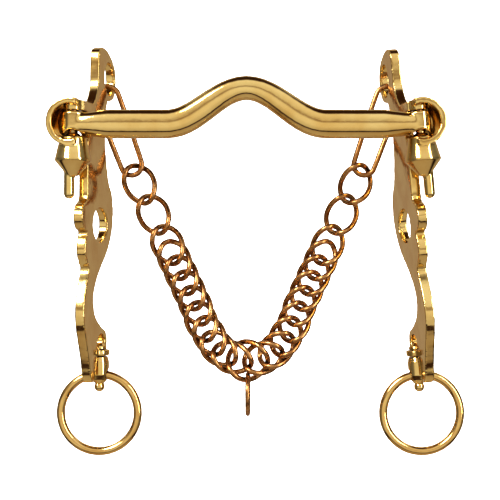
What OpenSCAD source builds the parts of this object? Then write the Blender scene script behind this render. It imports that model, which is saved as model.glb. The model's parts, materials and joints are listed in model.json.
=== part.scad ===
// Curb bit with hinged pierced cheeks, ported mouthpiece, swivelling rein rings
// and a doubled curb chain on two hooks.
// +X is to the right of the bit, +Y points back (towards the horse's chin), +Z is up.
// The origin is the middle of the mouthpiece, on the line between the two cheek pins.

/* [Mouthpiece] */
// Distance between the inner faces of the two cheek plates
mouth_w = 135; // [125:1:145]
// Height of the mouthpiece bar on its straight stretches
bar_h = 12.2; // [11:0.2:12.6]
// Height of the mouthpiece bar at the top of the port
port_bar_h = 10.2; // [9:0.2:11]
// Depth of the mouthpiece bar from front to back
bar_depth = 10.4; // [9.6:0.2:10.6]
// Height that the port rises above the bar
port_h = 15; // [8:0.5:18]
// Half width of the port at its foot
port_half_w = 33; // [26:1:38]

/* [Cheeks] */
// Thickness of the cheek plates
plate_t = 4.2; // [4:0.1:4.4]
// Inward yaw of the left cheek at rest, in degrees
left_yaw = 9; // [6:1:9]
// Inward yaw of the right cheek at rest, in degrees
right_yaw = 7; // [6:1:9]
// Outward lean of the left cheek's foot, in degrees
left_splay = 0.3; // [0:0.1:3]
// Outward lean of the right cheek's foot, in degrees
right_splay = 5.2; // [0:0.1:5.4]
// Diameter of the hinge pin through each mouthpiece end
pin_d = 4; // [3.5:0.1:4.5]

/* [Rein rings] */
// Outer diameter of each rein ring
rein_ring_od = 37.5; // [34:0.5:40]
// Wire diameter of each rein ring
rein_wire_d = 3.8; // [3.4:0.1:4]

/* [Curb chain] */
// Half of the distance between two ring ends along the strap
link_pitch = 7.5; // [7.4:0.05:7.6]
// Wire diameter of the chain links
link_wire_d = 2.5; // [2.2:0.1:2.5]
// Width of a chain link, from wire centre to wire centre
link_w = 13.2; // [12.8:0.1:13.6]
// Twist of each chain link's ends, in degrees
link_twist = 54; // [50:1:56]
// Wire diameter of the two curb hooks
hook_wire_d = 2.5; // [2.2:0.1:2.5]

/* [Hidden] */
LINK_COUNT = 23;
CENTRE_LINK = 11;

GOLD = "gold";
BRONZE = "peru";

// Fits and gaps
run_gap = 0.05;
end_gap = 0.4;
link_gap = 0.45;

// Cheek pin, outboard of the plate, and the mouthpiece's end knuckle
pin_offset = 2.6;
pin_x = mouth_w / 2 + plate_t / 2 + pin_offset;
knuckle_r = 4.8;
knuckle_h = 10;
pin_foot = -17;
pin_top = 10.4;
shoulder = knuckle_h / 2 + end_gap;
dome_r = 3.7;
dome_z = -6.6;

// Curled yoke over the mouthpiece end
yoke_r = 10;
yoke_wall = 2.5;
yoke_w = 13;
yoke_z = 0.6;
yoke_back = 1;
yoke_reach = 2.7;
lug_r = 3.6;
lug_low = shoulder + 0.2;
lug_h = 4.4;
lug_reach = 14;
lug_sink = 0.4;

// Headstall eye, curb hook seat and windows of the cheek, as [back, up]
eye_at = [36.5, 23.9];
eye_r = 7.4;
mid_window_at = [24, -41.5];
mid_window_half = [10.5, 7.5];
foot_window_at = [26, -92.6];
foot_window_half = [5.6, 3.4];

// Rein swivel: a bead on a shank, inboard of the plate, with a cross hole for the ring
swivel_back = 26;
swivel_in = 1.3;
swivel_seat = -96;
swivel_foot = -98.6;
collar_r = 4.4;
stem_d = 3.2;
head_r = 3.2;
head_h = 2.8;
bead_r = 4.2;
bead_hole_r = 2.6;
bead_hole_z = -106.8;
bead_foot = bead_hole_z - bead_hole_r - 1.3;
ball_r = 2.3;
rein_top_z = bead_hole_z - 0.1;
rein_major = (rein_ring_od - rein_wire_d) / 2;

// Curb chain: a doubled strap that hangs in a V behind the cheeks
chain_y = 36.7;
chain_end = [51.5, -16.2];
hook_top_out = 1.3;
hook_top_z = 20.6;
hook_half_w = 5.5;
hook_foot_half_w = 4.8;
hook_slack = 1.3;
hook_bend_steps = 10;
vee_steps = 3;
apex_index = CENTRE_LINK + 3;
link_l = 2 * link_pitch + link_wire_d + link_gap;
link_power = 2.6;
ring_steps = 30;
tube_sides = 8;
centre_link_w = 17.4;
fly_major = 8.8;
fly_wire_d = 2.2;
fly_gap = 0.15;

// ---------- helpers ----------

function signed_power(x, p) = sign(x) * pow(abs(x), p);

function unit(v) = v / norm(v);

// A point on the closed smooth curve through pts, at fraction f of span i
function spline_point(pts, i, f) =
    let (
        n = len(pts),
        a = pts[(i + n - 1) % n],
        b = pts[i],
        c = pts[(i + 1) % n],
        d = pts[(i + 2) % n]
    )
    b + f * (c - a) / 2 + f * f * (a - 2.5 * b + 2 * c - d / 2)
    + f * f * f * (3 * b - a - 3 * c + d) / 2;

function smooth_loop(pts, steps) =
    [for (i = [0 : len(pts) - 1], s = [0 : steps - 1]) spline_point(pts, i, s / steps)];

// Faces of a tube whose rings of points are listed one after another
function closed_tube_faces(rings, sides) = [
    for (i = [0 : rings - 1], j = [0 : sides - 1])
        let (k = (i + 1) % rings, m = (j + 1) % sides)
        each [
            [i * sides + j, i * sides + m, k * sides + m],
            [i * sides + j, k * sides + m, k * sides + j]
        ]
];

function open_tube_faces(rings, sides) = concat(
    [for (i = [0 : rings - 2], j = [0 : sides - 1])
        let (m = (j + 1) % sides)
        each [
            [i * sides + j, i * sides + m, (i + 1) * sides + m],
            [i * sides + j, (i + 1) * sides + m, (i + 1) * sides + j]
        ]],
    [[for (j = [sides - 1 : -1 : 0]) j]],
    [[for (j = [0 : sides - 1]) (rings - 1) * sides + j]]
);

// Round wire along a closed loop of points
module wire_loop(path, wire_d) {
    n = len(path);
    points = [
        for (i = [0 : n - 1])
            let (
                t = unit(path[(i + 1) % n] - path[(i + n - 1) % n]),
                out = unit(path[i] - t * (path[i] * t)),
                side = cross(t, out)
            )
            for (j = [0 : tube_sides - 1])
                let (a = 360 * j / tube_sides)
                path[i] + wire_d / 2 * (cos(a) * out + sin(a) * side)
    ];
    polyhedron(points, closed_tube_faces(n, tube_sides), convexity = 6);
}

// Centre line of one chain link: an oval along X whose ends are twisted opposite ways
function link_path(width) = [
    for (i = [0 : ring_steps - 1])
        let (
            a = 360 * i / ring_steps,
            u = link_l / 2 * signed_power(cos(a), 2 / link_power),
            v = width / 2 * signed_power(sin(a), 2 / link_power),
            tw = link_twist * u / (link_l / 2)
        )
        [u, v * cos(tw), v * sin(tw)]
];

// ---------- places along the curb chain, as [across, up] ----------

// The strap hangs straight down each side and turns through vee_steps even steps at the foot

// Points from the apex outwards on the right side, for a given side slope
function vee_point(j, slope) =
    let (
        step = slope / vee_steps,
        r = link_pitch / sin(step),
        on_arc = function(k) [r * sin(k * step), r * (1 - cos(k * step))],
        leave = on_arc(vee_steps - 1) + 2 * link_pitch * [cos(slope), sin(slope)]
    )
    j <= vee_steps
        ? on_arc(j)
        : leave + (j - vee_steps - 1) * link_pitch * [cos(slope), sin(slope)];

// The slope that brings the strap's end out to the hook
function find_slope(low, high, n) =
    n == 0
        ? (low + high) / 2
        : let (mid = (low + high) / 2)
          vee_point(apex_index, mid).x > chain_end.x
              ? find_slope(mid, high, n - 1)
              : find_slope(low, mid, n - 1);

slope = find_slope(45, 75, 24);
apex_z = chain_end.y - vee_point(apex_index, slope).y;

function chain_point(k) =
    let (j = k - apex_index, q = vee_point(abs(j), slope))
    [sign(j) * q.x, apex_z + q.y];

// Where each link starts: two single links at each end, and doubled links between them
function link_start(i) = i < 2 ? 2 * i : i > LINK_COUNT - 3 ? 2 * i - LINK_COUNT + 5 : i + 2;

module at_link(i) {
    k = link_start(i);
    a = chain_point(k);
    b = chain_point(k + 2);
    mid = (a + b) / 2;
    lean = atan2(b.y - a.y, b.x - a.x);
    translate([mid.x, chain_y, mid.y])
        rotate([0, -lean, 0])
            rotate([90, 0, 0])
                children();
}

// ---------- the cheek's own frame: pin on Z, plate running back along Y ----------

function yaw_of(side) = side < 0 ? left_yaw : right_yaw;

function splay_of(side) = side < 0 ? left_splay : right_splay;

// Shapes in this frame are drawn for the left cheek, with outboard towards -X
module cheek_frame(side) {
    knuckle_frame(side)
        rotate([0, 0, side * yaw_of(side)])
            if (side < 0)
                children();
            else
                mirror([1, 0, 0]) children();
}

// Stands on the pin axis, which leans with the cheek's splay
module knuckle_frame(side) {
    translate([side * pin_x, 0, 0])
        rotate([0, -side * splay_of(side), 0])
            children();
}

// Extrudes an outline drawn as [back, up] to the plate's thickness
module plate(t) {
    rotate([90, 0, 90])
        linear_extrude(t, center = true)
            children();
}

// Outline of the cheek plate, front edge downwards and back edge upwards, as [back, up]
cheek_points = [
    [21, 33], [20.5, 26], [20, 19], [16.5, 13], [11, 8], [6.5, 0], [6, -12],
    [6, -24], [5.5, -31], [1, -33.5], [-1.5, -38], [0.5, -43], [5, -45], [3.5, -49],
    [3, -54], [6, -58], [8, -61], [5, -67], [1.5, -76], [2, -84], [6, -93],
    [9.5, -101], [11.5, -107], [14.8, -109.5], [17.8, -107], [19, -102.4], [21.4, -98.7],
    [25.5, -98], [29.5, -98], [33.4, -96.5], [34.5, -92.5], [32.5, -88.4], [26, -86], [17.5, -81],
    [14.5, -74], [17, -68], [24, -61], [33, -54.5], [39, -48], [42.5, -41],
    [43, -34], [41, -27], [36.5, -22.5], [33.5, -16], [31, -8], [30.5, 0], [31.4, 8],
    [34, 13.6], [38, 14.2], [43.4, 16.2], [46.4, 21], [46.2, 27], [42.5, 32], [36, 35.2],
    [29, 36.6], [23.5, 35.6]
];

module cheek_outline() {
    polygon(smooth_loop(cheek_points, 4));
}

module oval(at, half) {
    polygon([for (i = [0 : 35])
        [at.x + half.x * cos(10 * i), at.y + half.y * sin(10 * i)]]);
}

// Flared barrel under the mouthpiece end that the pin stands in, with a domed top
module pin_barrel() {
    rotate_extrude($fn = 64)
        polygon(concat(
            [for (a = [90 : -10 : 20]) [dome_r * cos(a), dome_z + dome_r * sin(a)]],
            [[5.4, -shoulder], [6.4, -9.5], [7.7, -15.2], [2.4, -21.6], [0, -22]]
        ));
}

// Curled yoke that holds the top of the pin and wraps round the mouthpiece end
module yoke() {
    translate([0, 0, yoke_z])
        rotate([90, 0, 0]) {
            linear_extrude(yoke_w, center = true)
                intersection() {
                    difference() {
                        circle(r = yoke_r, $fn = 96);
                        circle(r = yoke_r - yoke_wall, $fn = 96);
                    }
                    translate([-yoke_r - 1, -yoke_r - 1])
                        square([yoke_r + 1 + yoke_reach, 2 * yoke_r + 2]);
                }
            translate([0, 0, -yoke_w / 2])
                linear_extrude(yoke_back)
                    intersection() {
                        circle(r = yoke_r - yoke_wall / 2, $fn = 96);
                        translate([-yoke_r, -yoke_r])
                            square([yoke_r, 2 * yoke_r]);
                    }
        }
    translate([0, 0, lug_low])
        cylinder(h = pin_top - lug_sink - lug_low, r = lug_r, $fn = 64);
    translate([pin_offset - plate_t / 2, 0, lug_low])
        cube([plate_t, lug_reach, lug_h]);
}

// Rounded tongue below the barrel
module tongue() {
    tongue_r = 2.3;
    tongue_top = -18;
    tongue_foot = -29;
    tongue_out = 1.6;
    translate([-tongue_out, 0, tongue_foot]) {
        cylinder(h = tongue_top - tongue_foot, r = tongue_r, $fn = 48);
        sphere(r = tongue_r, $fn = 48);
    }
}

// Room for the mouthpiece end, which swings in the plate's front edge
module mouthpiece_room() {
    room_r = 8.4;
    cylinder(h = 2 * shoulder, r = knuckle_r + end_gap, center = true, $fn = 64);
    intersection() {
        cylinder(h = 2 * lug_low, r = room_r, center = true, $fn = 64);
        translate([0, -room_r, -lug_low])
            cube([room_r, 2 * room_r, 2 * lug_low]);
    }
}

module cheek(side) {
    swivel_at = [pin_offset + swivel_in, swivel_back];
    color(GOLD)
        cheek_frame(side)
            difference() {
                union() {
                    difference() {
                        union() {
                            translate([pin_offset, 0, 0])
                                plate(plate_t) cheek_outline();
                            translate([swivel_at.x, swivel_at.y, swivel_foot])
                                cylinder(h = swivel_seat - swivel_foot, r = collar_r, $fn = 64);
                            yoke();
                        }
                        translate([pin_offset, 0, 0])
                            plate(plate_t + 2) {
                                translate(eye_at) circle(r = eye_r, $fn = 96);
                                oval(mid_window_at, mid_window_half);
                                oval(foot_window_at, foot_window_half);
                            }
                        mouthpiece_room();
                    }
                    pin_barrel();
                    tongue();
                }
                translate([0, 0, pin_foot])
                    cylinder(h = 2 * pin_top - pin_foot, d = pin_d, $fn = 64);
                translate([swivel_at.x, swivel_at.y, swivel_foot - 1])
                    cylinder(h = swivel_seat - swivel_foot + 2, d = stem_d + 2 * run_gap, $fn = 48);
                translate([swivel_at.x, swivel_at.y, swivel_seat])
                    cylinder(h = head_h + 2 * end_gap, r = head_r + end_gap, $fn = 48);
            }
}

module left_cheek() { cheek(-1); }
module right_cheek() { cheek(1); }

// Hinge pin with a domed end on top of the yoke
module hinge_pin(side) {
    pin_r = pin_d / 2;
    color(GOLD)
        cheek_frame(side)
            rotate_extrude($fn = 64)
                polygon(concat(
                    [[0, pin_foot + 0.2], [pin_r, pin_foot + 0.2]],
                    [for (a = [0 : 15 : 90]) [pin_r * cos(a), pin_top + 0.8 * sin(a)]]
                ));
}

module left_hinge_pin() { hinge_pin(-1); }
module right_hinge_pin() { hinge_pin(1); }

// ---------- mouthpiece ----------

function port_rise(x) =
    abs(x) >= port_half_w ? 0 : port_h * (1 + cos(180 * abs(x) / port_half_w)) / 2;

module mouthpiece() {
    bar_sides = 20;
    bar_power = 2.6;
    bar_end = pin_x - 1;
    stations = 50;
    end_half = 4.3;
    end_flare = 0.13;
    channel_r = 4.2;
    path = [for (i = [0 : stations]) let (x = bar_end * (2 * i / stations - 1)) [x, port_rise(x)]];
    lean_at = [
        for (i = [0 : stations])
            let (a = path[max(i - 1, 0)], b = path[min(i + 1, stations)]) atan2(b.y - a.y, b.x - a.x)
    ];
    points = [
        for (i = [0 : stations])
            let (
                room = end_half + end_flare * (bar_end - abs(path[i].x)),
                half_h = min(room, (bar_h + (port_bar_h - bar_h) * path[i].y / port_h) / 2),
                half_d = min(room, bar_depth / 2)
            )
            for (j = [0 : bar_sides - 1])
                let (
                    a = 360 * j / bar_sides,
                    up = half_h * signed_power(cos(a), 2 / bar_power),
                    back = half_d * signed_power(sin(a), 2 / bar_power)
                )
                [path[i].x - up * sin(lean_at[i]), back, path[i].y + up * cos(lean_at[i])]
    ];
    color(GOLD)
        difference() {
            union() {
                polyhedron(points, open_tube_faces(stations + 1, bar_sides), convexity = 4);
                for (side = [-1, 1])
                    knuckle_frame(side)
                        cylinder(h = knuckle_h, r = knuckle_r, center = true, $fn = 64);
            }
            for (side = [-1, 1])
                knuckle_frame(side) {
                    cylinder(h = 2 * knuckle_h, d = pin_d + 2 * run_gap, center = true, $fn = 64);
                    // Arched channel over the barrel's dome
                    translate([0, 0, dome_z])
                        rotate([90, 0, 0])
                            cylinder(h = 2 * bar_depth, r = channel_r, center = true, $fn = 64);
                }
        }
}

// ---------- rein swivel and rein ring ----------

module rein_swivel(side) {
    neck = swivel_foot - end_gap;
    color(GOLD)
        cheek_frame(side)
            translate([pin_offset + swivel_in, swivel_back, 0])
                difference() {
                    union() {
                        rotate_extrude($fn = 64)
                            polygon(concat(
                                [[0, bead_foot], [2.2, bead_foot], [3.5, bead_foot + 1.6],
                                 [bead_r, bead_hole_z], [bead_r, neck - 2.2], [3.5, neck],
                                 [stem_d / 2, neck], [stem_d / 2, swivel_seat + 0.3]],
                                [for (a = [0 : 15 : 90])
                                    [head_r * cos(a), swivel_seat + 0.3 + head_h * sin(a)]]
                            ));
                        translate([0, 0, bead_foot - 1.5])
                            sphere(r = ball_r, $fn = 48);
                    }
                    translate([0, 0, bead_hole_z])
                        rotate([0, 90, yaw_of(side)])
                            cylinder(h = 4 * bead_r, r = bead_hole_r, center = true, $fn = 64);
                }
}

module left_rein_swivel() { rein_swivel(-1); }
module right_rein_swivel() { rein_swivel(1); }

module rein_ring(side) {
    color(GOLD)
        cheek_frame(side)
            translate([pin_offset + swivel_in, swivel_back, rein_top_z - rein_major])
                rotate([90, 0, yaw_of(side)])
                    rotate_extrude($fn = 96)
                        translate([rein_major, 0])
                            circle(d = rein_wire_d, $fn = 32);
}

module left_rein_ring() { rein_ring(-1); }
module right_rein_ring() { rein_ring(1); }

// ---------- curb hooks, chain and fly link ----------

// Middle of the hook's top bend, as [across, up], where the hook passes the headstall eye
function hook_top(side) =
    let (
        plate_x = pin_x - pin_offset - chain_y * tan(yaw_of(side)),
        lean = hook_top_z * tan(splay_of(side))
    )
    [side * (plate_x - lean + hook_top_out), hook_top_z];

module curb_hook(side) {
    top = hook_top(side);
    foot = [side * chain_end.x, chain_end.y];
    u = unit(foot - top);
    foot_reach = (link_wire_d + link_gap) / 2 + hook_slack;
    half_l = (norm(foot - top) + foot_reach) / 2;
    mid = top + u * half_l;
    arc = [for (i = [0 : hook_bend_steps]) -90 + 180 * i / hook_bend_steps];
    path = [for (end = [1, -1], a = arc)
        let (r = end > 0 ? hook_foot_half_w : hook_half_w)
        [end * (half_l - r + r * cos(a)), end * r * sin(a), 0]];
    color(BRONZE)
        translate([mid.x, chain_y, mid.y])
            rotate([0, -atan2(u.y, u.x), 0])
                rotate([90, 0, 0])
                    wire_loop(path, hook_wire_d);
}

module left_curb_hook() { curb_hook(-1); }
module right_curb_hook() { curb_hook(1); }

module chain_link(i) {
    color(BRONZE)
        at_link(i)
            wire_loop(link_path(i == CENTRE_LINK ? centre_link_w : link_w), link_wire_d);
}

// Height of the lower strand of the chain's middle link
fly_seat_z = (chain_point(apex_index - 1).y + chain_point(apex_index + 1).y - centre_link_w) / 2;
fly_top_z = fly_seat_z + (link_wire_d + fly_wire_d) / 2 + fly_gap;

// Round link that hangs from the middle of the chain for a lip strap
module fly_link() {
    color(BRONZE)
        translate([0, chain_y, fly_top_z - fly_major])
            rotate([0, 90, 0])
                rotate_extrude($fn = 64)
                    translate([fly_major, 0])
                        circle(d = fly_wire_d, $fn = 24);
}

mouthpiece();
left_cheek();
right_cheek();
left_hinge_pin();
right_hinge_pin();
left_rein_swivel();
right_rein_swivel();
left_rein_ring();
right_rein_ring();
left_curb_hook();
right_curb_hook();
fly_link();
for (i = [0 : LINK_COUNT - 1])
    chain_link(i);
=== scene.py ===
"""A gilt curb bit with a bronze curb chain, as a polished studio product shot.

Castings and chain wires are smooth copies of the CAD solids; the round rings are swept in mesh code.
Everything is in metres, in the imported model's frame.
"""
import json
import math

import bmesh
import bpy
import numpy as np
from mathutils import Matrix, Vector


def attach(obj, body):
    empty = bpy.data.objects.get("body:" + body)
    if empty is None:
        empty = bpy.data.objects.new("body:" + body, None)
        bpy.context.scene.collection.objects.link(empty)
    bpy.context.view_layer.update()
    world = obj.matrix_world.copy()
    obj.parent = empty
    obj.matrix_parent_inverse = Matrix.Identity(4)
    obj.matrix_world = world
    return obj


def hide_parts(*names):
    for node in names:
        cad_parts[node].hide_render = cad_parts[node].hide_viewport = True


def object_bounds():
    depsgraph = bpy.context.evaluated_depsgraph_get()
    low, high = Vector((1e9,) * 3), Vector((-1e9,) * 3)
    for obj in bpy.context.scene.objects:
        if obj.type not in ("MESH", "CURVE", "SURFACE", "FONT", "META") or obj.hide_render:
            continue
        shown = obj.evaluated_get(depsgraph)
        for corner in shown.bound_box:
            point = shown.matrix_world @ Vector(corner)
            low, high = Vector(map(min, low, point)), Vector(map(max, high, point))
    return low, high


MM = 0.001
SIDES = ("left", "right")
LINK_COUNT = 23
WELD_MM = 0.004
WIRE_LEVELS = 2
WIRE_GIRTH_MM = 0.12
RING_STATIONS = 96
RING_SIDES = 20

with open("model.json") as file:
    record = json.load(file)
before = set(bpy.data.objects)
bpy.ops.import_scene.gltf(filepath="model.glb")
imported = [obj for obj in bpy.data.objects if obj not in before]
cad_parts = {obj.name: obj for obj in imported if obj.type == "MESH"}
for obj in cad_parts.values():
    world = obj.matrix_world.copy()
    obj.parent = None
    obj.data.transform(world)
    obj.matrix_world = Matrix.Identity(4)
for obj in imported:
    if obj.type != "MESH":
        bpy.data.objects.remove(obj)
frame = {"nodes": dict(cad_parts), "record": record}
CAD_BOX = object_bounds()


# ---------------------------------------------------------------- materials

def new_material(name):
    mat = bpy.data.materials.new(name)
    mat.use_nodes = True
    return mat, mat.node_tree, mat.node_tree.nodes["Principled BSDF"]


def add_node(tree, kind, **values):
    node = tree.nodes.new(kind)
    for key, value in values.items():
        if key in node.inputs:
            node.inputs[key].default_value = value
        else:
            setattr(node, key, value)
    return node


def noise(tree, coords, scale, detail=3.0, roughness=0.5):
    node = add_node(tree, "ShaderNodeTexNoise", Scale=scale, Detail=detail, Roughness=roughness)
    tree.links.new(coords, node.inputs["Vector"])
    return node.outputs["Fac"]


def ramp(tree, factor, stops):
    node = tree.nodes.new("ShaderNodeValToRGB")
    elements = node.color_ramp.elements
    while len(elements) < len(stops):
        elements.new(0.5)
    for element, (place, value) in zip(elements, stops):
        element.position = place
        element.color = (*value, 1)
    tree.links.new(factor, node.inputs["Fac"])
    return node.outputs["Color"]


def grey(value):
    return (value, value, value)


def mix(tree, factor, a, b, blend="MIX"):
    node = add_node(tree, "ShaderNodeMix", data_type="RGBA", blend_type=blend)
    for socket, value in ((node.inputs[6], a), (node.inputs[7], b)):
        if isinstance(value, tuple):
            socket.default_value = (*value, 1)
        else:
            tree.links.new(value, socket)
    if isinstance(factor, float):
        node.inputs[0].default_value = factor
    else:
        tree.links.new(factor, node.inputs[0])
    return node.outputs[2]


def bump(tree, height, strength, distance, normal=None):
    node = add_node(tree, "ShaderNodeBump", Strength=strength, Distance=distance)
    tree.links.new(height, node.inputs["Height"])
    if normal is not None:
        tree.links.new(normal, node.inputs["Normal"])
    return node.outputs["Normal"]


def metal(name, light, deep, hollow_shade_colour, rough, wave_mm, wave_strength, crevice_mm):
    """A cast and polished metal: cloudy colour, soft casting waves, painted shade darkening the
    hollows, and fine smudges and pits.
    """
    mat, tree, shader = new_material(name)
    coords = tree.nodes.new("ShaderNodeTexCoord").outputs["Object"]
    clouds = noise(tree, coords, 90.0, 4.0)
    colour = mix(tree, ramp(tree, clouds, [(0.35, grey(0)), (0.7, grey(1))]), light, deep)
    # Painted shade: an ambient-occlusion mask darkens the colour towards a dark brown shade colour
    # in hollows and crevices.
    hollows = add_node(tree, "ShaderNodeAmbientOcclusion", Distance=crevice_mm * MM)
    hollows.samples = 8
    painted_shade_mask = ramp(tree, hollows.outputs["AO"], [(0.25, grey(1)), (0.8, grey(0))])
    colour = mix(tree, painted_shade_mask, colour, hollow_shade_colour)
    tree.links.new(colour, shader.inputs["Base Color"])
    shader.inputs["Metallic"].default_value = 1.0
    smudges = ramp(tree, noise(tree, coords, 260.0, 5.0, 0.65),
                   [(0.3, grey(rough * 0.75)), (0.75, grey(rough * 1.6))])
    tree.links.new(smudges, shader.inputs["Roughness"])
    waves = bump(tree, noise(tree, coords, 1000.0 / wave_mm, 2.0), wave_strength, 0.4 * MM)
    pits = bump(tree, noise(tree, coords, 2200.0, 3.0), 0.06, 0.1 * MM, waves)
    tree.links.new(pits, shader.inputs["Normal"])
    return mat


# The third colour of each metal is the painted shade colour that its hollows darken towards.
GOLD = metal("gilt", (0.90, 0.66, 0.25), (0.78, 0.50, 0.15), (0.22, 0.085, 0.02),
             rough=0.09, wave_mm=8.0, wave_strength=0.30, crevice_mm=3.0)
GOLD_WIRE = metal("gilt_wire", (0.86, 0.57, 0.20), (0.70, 0.41, 0.12), (0.20, 0.08, 0.02),
                  rough=0.11, wave_mm=6.0, wave_strength=0.15, crevice_mm=2.0)
BRONZE = metal("bronze", (0.56, 0.28, 0.10), (0.36, 0.155, 0.05), (0.04, 0.013, 0.005),
               rough=0.22, wave_mm=4.0, wave_strength=0.30, crevice_mm=3.2)


# ---------------------------------------------------------------- mesh helpers

def mesh_object(name, verts, faces, material):
    mesh = bpy.data.meshes.new(name)
    mesh.from_pydata([tuple(v) for v in verts], [], faces)
    mesh.validate()
    mesh.materials.append(material)
    for face in mesh.polygons:
        face.use_smooth = True
    obj = bpy.data.objects.new(name, mesh)
    bpy.context.scene.collection.objects.link(obj)
    return obj


def apply_modifiers(obj):
    graph = bpy.context.evaluated_depsgraph_get()
    mesh = bpy.data.meshes.new_from_object(obj.evaluated_get(graph))
    obj.modifiers.clear()
    obj.data = mesh


def stand_for(piece, node):
    body = next(b for b, names in frame["record"]["behaviour"]["bodies"].items() if node in names)
    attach(piece, body)
    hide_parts(node)


def weld_copy(node, name):
    """A copy of a CAD node's mesh with its split corners joined."""
    mesh = frame["nodes"][node].data.copy()
    work = bmesh.new()
    work.from_mesh(mesh)
    bmesh.ops.remove_doubles(work, verts=work.verts, dist=WELD_MM * MM)
    work.to_mesh(mesh)
    work.free()
    mesh.materials.clear()
    mesh.name = name
    obj = bpy.data.objects.new(name, mesh)
    bpy.context.scene.collection.objects.link(obj)
    return obj


def cast(node, name, voxel_mm, rounds, material):
    """A CAD solid with its edges melted round, as lost-wax casting and polishing leave them."""
    obj = weld_copy(node, name)
    remesh = obj.modifiers.new("remesh", "REMESH")
    remesh.mode = "VOXEL"
    remesh.voxel_size = voxel_mm * MM
    remesh.use_smooth_shade = True
    soften = obj.modifiers.new("soften", "SMOOTH")
    soften.factor = 0.5
    soften.iterations = rounds
    apply_modifiers(obj)
    finish_surface(obj, material)
    return obj


def wire(node, name, material):
    """A CAD wire's eight-sided tube, turned back into quads and rounded to its true girth."""
    obj = weld_copy(node, name)
    work = bmesh.new()
    work.from_mesh(obj.data)
    bmesh.ops.join_triangles(work, faces=work.faces, angle_face_threshold=3.2,
                             angle_shape_threshold=3.2, cmp_seam=False)
    work.to_mesh(obj.data)
    work.free()
    rounding = obj.modifiers.new("rounding", "SUBSURF")
    rounding.levels = rounding.render_levels = WIRE_LEVELS
    girth = obj.modifiers.new("girth", "DISPLACE")
    girth.strength = WIRE_GIRTH_MM * MM
    girth.mid_level = 0
    apply_modifiers(obj)
    finish_surface(obj, material)
    return obj


def finish_surface(obj, material):
    obj.data.materials.clear()
    obj.data.materials.append(material)
    for face in obj.data.polygons:
        face.use_smooth = True


def ring(node, name, material):
    """A round ring swept to the centre, tilt and girth of a CAD ring."""
    points = np.array([v.co for v in frame["nodes"][node].data.vertices])
    middle = (points.min(0) + points.max(0)) / 2
    spread = points - middle
    _, axes = np.linalg.eigh(spread.T @ spread)
    reach = np.linalg.norm(spread, axis=1)
    major = float(reach.max() + reach.min()) / 2
    minor = float(reach.max() - reach.min()) / 2
    across, along = Vector(axes[:, 2]), Vector(axes[:, 1])
    turns = [2 * math.pi * i / RING_STATIONS for i in range(RING_STATIONS)]
    path = [Vector(middle) + major * (math.cos(turn) * across + math.sin(turn) * along)
            for turn in turns]
    return sweep_loop(name, path, minor, material)


def sweep_loop(name, path, radius, material, sides=RING_SIDES):
    """A round tube along a closed path."""
    count = len(path)
    middle = sum(path, Vector()) / count
    verts = []
    faces = []
    for i, point in enumerate(path):
        ahead = (path[(i + 1) % count] - path[i - 1]).normalized()
        out = point - middle
        out = (out - ahead * out.dot(ahead)).normalized()
        side = ahead.cross(out)
        for j in range(sides):
            turn = 2 * math.pi * j / sides
            verts.append(point + radius * (math.cos(turn) * out + math.sin(turn) * side))
    for i in range(count):
        k = (i + 1) % count
        for j in range(sides):
            m = (j + 1) % sides
            faces.append((i * sides + j, i * sides + m, k * sides + m, k * sides + j))
    return mesh_object(name, verts, faces, material)


# ---------------------------------------------------------------- the bit

def build_cheeks():
    for side in SIDES:
        stand_for(cast(f"{side}_cheek", f"{side}_cheek_casting", 0.33, 10, GOLD), f"{side}_cheek")
        for part in ("hinge_pin", "rein_swivel"):
            piece = cast(f"{side}_{part}", f"{side}_{part}_polished", 0.16, 6, GOLD)
            stand_for(piece, f"{side}_{part}")
        piece = ring(f"{side}_rein_ring", f"{side}_rein_ring_wire", GOLD_WIRE)
        stand_for(piece, f"{side}_rein_ring")


def build_mouthpiece():
    stand_for(cast("mouthpiece", "mouthpiece_bar", 0.36, 16, GOLD), "mouthpiece")


def build_chain():
    names = [f"chain_link_{i:02d}" for i in range(1, LINK_COUNT + 1)]
    names += [f"{side}_curb_hook" for side in SIDES]
    for node in names:
        stand_for(wire(node, f"{node}_wire", BRONZE), node)
    stand_for(ring("fly_link", "fly_link_wire", BRONZE), "fly_link")


# ---------------------------------------------------------------- studio

CAMERA_AT = Vector((0.008, -0.480, -0.0525))
PX_PER_METRE = 2400.0
VIEW_PX = 500.0
SENSOR_MM = 36.0


def build_camera():
    data = bpy.data.cameras.new("camera")
    camera = bpy.data.objects.new("camera", data)
    bpy.context.scene.collection.objects.link(camera)
    camera.location = CAMERA_AT
    camera.rotation_euler = (math.pi / 2, 0, 0)
    data.sensor_width = SENSOR_MM
    data.lens = SENSOR_MM * PX_PER_METRE * -CAMERA_AT.y / VIEW_PX
    data.shift_x = -0.0314
    data.clip_start = 0.01
    bpy.context.scene.camera = camera


def area_light(name, place, target, size, power, colour=(1, 1, 1)):
    data = bpy.data.lights.new(name, "AREA")
    data.shape = "RECTANGLE"
    data.size, data.size_y = size
    data.energy = power
    data.color = colour
    lamp = bpy.data.objects.new(name, data)
    bpy.context.scene.collection.objects.link(lamp)
    lamp.location = place
    lamp.rotation_mode = "QUATERNION"
    lamp.rotation_quaternion = (Vector(target) - Vector(place)).to_track_quat("-Z", "Y")


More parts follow.
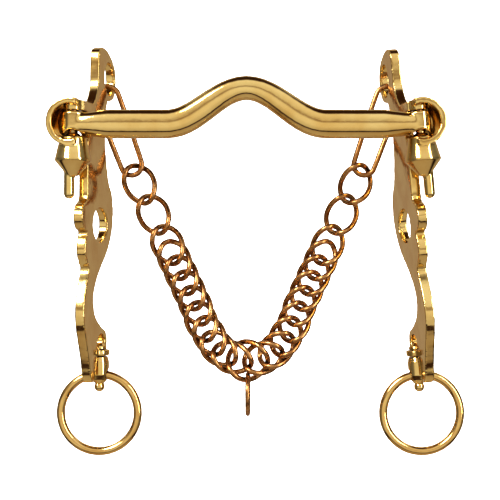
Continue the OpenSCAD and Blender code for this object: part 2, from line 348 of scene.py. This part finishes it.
def build_studio():
    low = CAD_BOX[0].z - 0.09
    floor_mat, tree, shader = new_material("studio_paper")
    coords = tree.nodes.new("ShaderNodeTexCoord").outputs["Object"]
    tone = ramp(tree, noise(tree, coords, 6.0), [(0.3, grey(0.93)), (0.7, grey(0.95))])
    tree.links.new(tone, shader.inputs["Base Color"])
    shader.inputs["Roughness"].default_value = 0.9
    reach, curve, width, height = 0.9, 0.35, 2.2, 1.8
    profile = [(-1.6, low), (reach - curve, low)]
    profile += [(reach - curve + curve * math.sin(a), low + curve * (1 - math.cos(a)))
                for a in [math.radians(9 * k) for k in range(1, 11)]]
    profile += [(reach, low + height)]
    verts = [Vector((x, y, z)) for y, z in profile for x in (-width, width)]
    faces = [(2 * k, 2 * k + 1, 2 * k + 3, 2 * k + 2) for k in range(len(profile) - 1)]
    sweep = mesh_object("studio_sweep", verts, faces, floor_mat)
    sweep.visible_glossy = False

    focus = (0, 0, -0.05)
    area_light("key", (-0.5, -0.6, 0.5), focus, (0.35, 0.35), 9, (1, 0.97, 0.92))
    area_light("fill", (0.6, -0.5, 0.1), focus, (0.12, 0.7), 4, (1, 0.98, 0.95))
    area_light("wash", (0, 0.3, 0.35), (0, 0.9, 0.0), (1.6, 0.6), 26)
    build_room()


def build_room():
    """The room that the metal mirrors: a banded warm wall, dim sides, and plain brown behind."""
    world = bpy.data.worlds.new("studio")
    bpy.context.scene.world = world
    world.use_nodes = True
    tree = world.node_tree
    way = tree.nodes.new("ShaderNodeTexCoord").outputs["Generated"]
    axes = tree.nodes.new("ShaderNodeSeparateXYZ")
    tree.links.new(way, axes.inputs[0])
    rise = add_node(tree, "ShaderNodeMapRange")
    rise.inputs["From Min"].default_value = -1.0
    tree.links.new(axes.outputs["Z"], rise.inputs["Value"])
    bands = ramp(tree, rise.outputs[0], [
        (0.0, (0.50, 0.42, 0.33)), (0.12, (0.42, 0.34, 0.26)), (0.15, (0.03, 0.012, 0.006)),
        (0.20, (0.04, 0.016, 0.008)), (0.23, (0.62, 0.56, 0.46)), (0.52, (0.95, 0.90, 0.80)),
        (0.60, (0.30, 0.22, 0.15)), (0.64, (0.85, 0.80, 0.70)), (0.88, (1.0, 0.97, 0.92)),
        (0.935, (0.05, 0.02, 0.01)), (1.0, (0.03, 0.012, 0.006))])
    wide = add_node(tree, "ShaderNodeMath", operation="ABSOLUTE")
    tree.links.new(axes.outputs["X"], wide.inputs[0])
    sides = ramp(tree, wide.outputs[0], [(0.60, grey(1)), (0.78, grey(0.30)), (1.0, grey(0.16))])
    front = mix(tree, 1.0, bands, sides, "MULTIPLY")
    behind = ramp(tree, axes.outputs["Y"], [(0.35, grey(0)), (0.75, grey(1))])
    room = mix(tree, behind, front, (0.40, 0.31, 0.22))
    sight = tree.nodes.new("ShaderNodeLightPath").outputs["Is Camera Ray"]
    background = tree.nodes["Background"]
    tree.links.new(mix(tree, sight, room, (1.0, 1.0, 1.0)), background.inputs["Color"])
    background.inputs["Strength"].default_value = 1.0


bpy.context.scene.view_settings.view_transform = "Standard"
build_camera()
build_studio()
build_cheeks()
build_mouthpiece()
build_chain()
